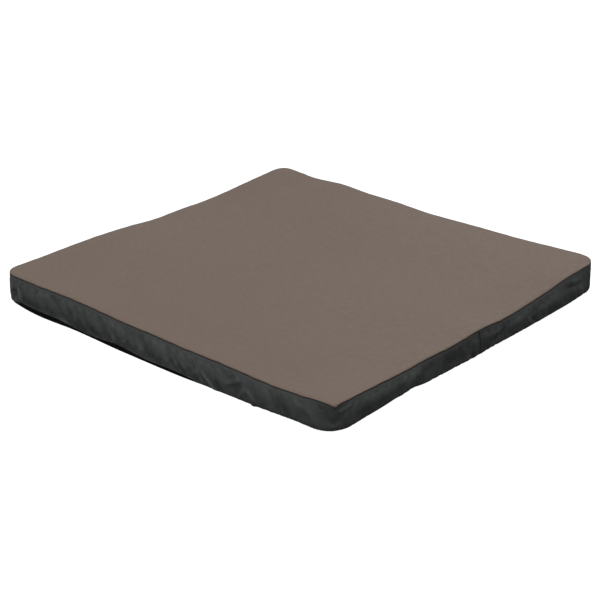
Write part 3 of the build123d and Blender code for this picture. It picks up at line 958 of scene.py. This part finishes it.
def cut_hole(mesh, centre, radius):
    """Opens a hole in a flat part of a sheet: the points round it are drawn in to its edge."""
    cloth = bmesh.new()
    cloth.from_mesh(mesh)
    layer = cloth.loops.layers.uv.active
    middle = Vector(centre)
    inside = [vert for vert in cloth.verts if (vert.co.xy - middle).length < radius]
    rim = {vert for point in inside for face in point.link_faces for vert in face.verts}
    rim.difference_update(inside)
    bmesh.ops.delete(cloth, geom=inside, context="VERTS")
    for vert in rim:
        vert.co.xy = middle + (vert.co.xy - middle).normalized() * radius
        for loop in vert.link_loops:
            loop[layer].uv = vert.co.xy
    cloth.to_mesh(mesh)
    cloth.free()


def lathe(section, centre, segments=40):
    """Points and faces of a closed section, as (radius, height) pairs, turned about a vertical axis."""
    count = len(section)
    radius, height = np.transpose(section)
    points, faces = [], []
    for k in range(segments):
        angle = 2 * math.pi * k / segments
        ring = np.column_stack([radius * math.cos(angle), radius * math.sin(angle), height])
        points += list(ring + centre)
        near, far = k * count, (k + 1) % segments * count
        for i in range(count):
            j = (i + 1) % count
            faces.append((near + i, far + i, far + j, near + j))
    return points, faces


def make_eyelets(half):
    """Two brass eyelets with a rolled outer flange, a tube through the liner and a washer inside."""
    centres, outer = eyelet_centres(half)
    bore = EYELET_BORE * outer
    section = [
        (bore, 2.3 * MM), (bore, 0.1 * MM), (bore + 0.4 * MM, -0.4 * MM), (bore + 1.4 * MM, -0.55 * MM),
        (outer - 0.6 * MM, -0.4 * MM), (outer, 0.0), (outer - 0.4 * MM, 0.1 * MM), (bore + 1.2 * MM, 0.0),
        (bore + 0.5 * MM, 0.3 * MM), (bore + 0.5 * MM, 1.5 * MM), (outer - 0.8 * MM, 1.5 * MM),
        (outer - 0.8 * MM, 1.9 * MM), (bore + 0.9 * MM, 2.4 * MM), (bore + 0.3 * MM, 2.6 * MM),
    ]
    points, faces = [], []
    for x, y in centres:
        lift = max(under_height(x, y), 0.56 * MM)
        turned, turned_faces = lathe(section, (x, y, lift))
        faces += [tuple(i + len(points) for i in f) for f in turned_faces]
        points += turned
    return mesh_piece(f"{half}_eyelets", points, faces)


# ---- zip and stitching


def make_zip_coil(half):
    """Two interlocking nylon coils, wound inside the space of the CAD chain's two rows."""
    low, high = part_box(f"{half}_zip_chain")
    wire, pitch = 0.28 * MM, 2.4 * MM
    turn_points, sides = 8, 4
    row_high = (high.z - low.z) / 2 + 0.25 * MM
    half_high = row_high / 2 - wire
    half_deep = (high.x - low.x) / 2 - wire
    turns = int((high.y - low.y) / pitch) - 1
    t = np.arange(turns * turn_points + 1) / turn_points
    angle = 2 * math.pi * t
    flat = np.sign(np.cos(angle)) * np.abs(np.cos(angle)) ** 0.7
    x = (low.x + high.x) / 2 + half_deep * np.sin(angle)
    points, faces = [], []
    for side in (-1, 1):
        y = low.y + pitch * (0.75 + t + 0.25 * side)
        z = (low.z + high.z) / 2 + side * (row_high / 2 - 0.12 * MM) - side * half_high * flat
        line = np.column_stack([x, y, z])
        ahead = unit(np.gradient(line, axis=0))
        across = unit(np.cross(ahead, (0, 1, 0)))
        other = np.cross(ahead, across)
        around = [2 * math.pi * (k + 0.5) / sides for k in range(sides)]
        rings = [line + wire * (across * math.cos(a) + other * math.sin(a)) for a in around]
        faces += tube_faces(len(points), len(line), sides)
        points += list(np.stack(rings, axis=1).reshape(-1, 3))
    return mesh_piece(f"{half}_zip_coil", points, faces)


def sampled(values, run, at):
    """Vectors given along a line, read at other distances along it."""
    return np.column_stack([np.interp(at, run, values[:, k]) for k in range(3)])


def stitches(name, lines, pitch=5 * MM, length=3.4 * MM, radius=0.4 * MM):
    """Rows of small raised stitches. Each line is its points and the outward direction at each."""
    sides, rings = 6, ((-0.5, 0.35), (-0.3, 1.0), (0.3, 1.0), (0.5, 0.35))
    points, faces = [], []
    for line, outward in lines:
        run = run_along(line)
        at = np.arange(pitch, run[-1] - pitch, pitch)
        middle = sampled(line, run, at)
        ahead = unit(sampled(line, run, at + 1 * MM) - middle)
        out = unit(sampled(outward, run, at))
        side = np.cross(ahead, out)
        made = []
        for along, wide in rings:
            for k in range(sides):
                a = 2 * math.pi * k / sides
                sideways = radius * wide * math.cos(a)
                lift = radius * (wide * math.sin(a) + 0.35 * wide)
                made.append(middle + ahead * along * length + side * sideways + out * lift)
        for number in range(len(at)):
            faces += tube_faces(len(points) + number * len(made), len(rings), sides)
        points += list(np.stack(made, axis=1).reshape(-1, 3))
    return mesh_piece(name, points, faces)


# ---- light, floor and camera


def make_stage():
    floor = mesh_piece("floor", [(-20, -20, 0), (20, -20, 0), (20, 20, 0), (-20, 20, 0)], [(0, 1, 2, 3)])
    give_material(floor, floor_material())


def aimed(name, data, place, back):
    """New lamp or camera at a place, its back turned in the given direction."""
    made = new_object(name, data)
    made.location = place
    made.rotation_euler = (-back).to_track_quat("-Z", "Y").to_euler()
    return made


def make_light(name, place, power):
    """Round soft light, aimed at the middle of the cover."""
    data = bpy.data.lights.new(name, "AREA")
    data.shape = "DISK"
    data.size = 3.0
    data.energy = power
    aimed(name, data, place, Vector(place))


def make_world(strength):
    world = bpy.data.worlds.new("studio")
    world.use_nodes = True
    background = world.node_tree.nodes["Background"]
    background.inputs["Color"].default_value = (1, 1, 1, 1)
    background.inputs["Strength"].default_value = strength
    bpy.context.scene.world = world


def make_camera():
    azimuth, elevation = math.radians(CAMERA_AZIMUTH), math.radians(CAMERA_ELEVATION)
    level = math.cos(elevation)
    back = Vector((math.sin(azimuth) * level, -math.cos(azimuth) * level, math.sin(elevation)))
    place = (Vector(CAMERA_TARGET) + back * CAMERA_DISTANCE) * LENGTH
    data = bpy.data.cameras.new("camera")
    data.sensor_width = 36
    data.lens = CAMERA_LENS
    data.clip_end = 100
    bpy.context.scene.camera = aimed("camera", data, place, back)


# ---- assembly


def give_material(piece, material):
    piece.data.materials.clear()
    piece.data.materials.append(material)


def finish_piece(piece, material, slot, body=None, *nodes):
    """Gives a finished piece its material and body, and hides the CAD nodes that it stands for. Its slot is
    not used.
    """
    give_material(piece, material)
    if body:
        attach(piece, body)
    if nodes:
        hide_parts(*nodes)


def band_stitches(half, grid):
    """Stitch rows under the seam and above the hem of a band."""
    normal = grid_normals(grid)
    lines = [(grid[row, 14:-14], normal[row, 14:-14]) for row in (5, -10)]
    return stitches(f"{half}_band_stitches", lines)


def fold_face_stitches(half, sign):
    """Stitch rows either side of the zip, and along the foot of the fold's lower flap."""
    low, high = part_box(f"{half}_zip_tapes")
    lines = []
    y = np.linspace(low.y, high.y, 300)
    foot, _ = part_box(f"{half}_fold_wall_lower")
    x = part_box(f"{half}_fold_wall_upper")[0 if sign > 0 else 1].x
    for z in (low.z + 2 * MM, high.z - 2 * MM, foot.z + 7 * MM):
        line = settle(np.column_stack([np.full_like(y, x), y, np.full_like(y, z)]))
        lines.append((line, np.tile((-sign, 0.0, 0.0), (len(y), 1))))
    return stitches(f"{half}_fold_stitches", lines)


make_camera()
make_stage()
make_world(0.8)
make_light("key", (-4.0, -1.0, 4.5), 155)
make_light("fill", (4.5, 1.5, 4.0), 70)
bpy.context.scene.view_settings.view_transform = "Standard"

CHARCOAL = band_fabric((0.041, 0.044, 0.044))
BLACK = woven("liner_fabric", (0.0022, 0.0022, 0.0022), 0.0012, 0.2, 0.8, specular=0.08)
WEBBING = woven("webbing", (0.012, 0.012, 0.013), 0.0022, 0.15, 0.7, 0.0004)
VINYL = woven("seal_cover", (0.016, 0.017, 0.018), 0.0009, 0.1, 0.45)
FOAM = foam_material()
FILM = film_material()
STEEL = steel_material()
TAPE = tape_material()
COIL = nylon()
NICKEL = cast_metal("zip_metal", (0.62, 0.61, 0.59))
BRASS = cast_metal("eyelet_brass", (0.70, 0.52, 0.25))
THREAD = thread_material()

SETTLED = {
    "foam_core": ("foam_board", FOAM, "foam_board", BOARD_EASE),
    "fold_channel": ("steel_channel", STEEL, "galvanised_steel", BOARD_EASE),
    "vapour_barrier": ("film_bag", FILM, "barrier_film", BOARD_EASE),
    "seam_tape": ("binding_tape", WEBBING, "webbing", 0),
    "fold_wall_upper": ("upper_flap", CHARCOAL, "band_fabric", 0),
    "fold_wall_lower": ("lower_flap", CHARCOAL, "band_fabric", 0),
    "zip_tapes": ("zip_tape", TAPE, "zip_tape", 0),
}

top_sheet = make_top_sheet()
finish_piece(top_sheet, top_fabric(), "top_fabric", None, "fixed_top_panel", "folding_top_panel")
webbing = make_webbing()
finish_piece(webbing, WEBBING, "webbing", None, "fixed_hinge_webbing", "folding_hinge_webbing")

for piece in (top_sheet, webbing):
    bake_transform(piece)

for half, sign, first, last, seed in (("fixed", -1, -0.5, 1.5, 3), ("folding", 1, 1.5, 3.5, 8)):
    body = f"{half}_half"
    for node, (name, material, slot, ease) in SETTLED.items():
        cad_node = f"{half}_{node}"
        piece = settled_copy(cad_node, f"{half}_{name}", ease)
        finish_piece(piece, material, slot, body, cad_node)
    for node in ("zip_stops", "zip_slider", "pull_tab"):
        give_material(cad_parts[f"{half}_{node}"], NICKEL)
    finish_piece(make_zip_coil(half), COIL, "zip_coil", body, f"{half}_zip_chain")
    band, grid = make_side_band(half, first, last, seed)
    finish_piece(band, CHARCOAL, "band_fabric", body, f"{half}_side_band")
    finish_piece(band_stitches(half, grid), THREAD, "band_fabric", body)
    finish_piece(fold_face_stitches(half, sign), THREAD, "band_fabric", body)
    liner = make_liner(half, sign)
    finish_piece(liner, BLACK, "liner_fabric", body, f"{half}_underside_liner")
    finish_piece(make_eyelets(half), BRASS, "eyelet_brass", body, f"{half}_drain_eyelets")

seal_strip = settled_copy("seal_foam", "seal_strip", 0)
finish_piece(seal_strip, FOAM, "seal_foam", "fixed_half", "seal_foam")
seal_cover = settled_copy("seal_sleeve", "seal_cover", 0)
finish_piece(seal_cover, VINYL, "band_fabric", "fixed_half", "seal_sleeve")
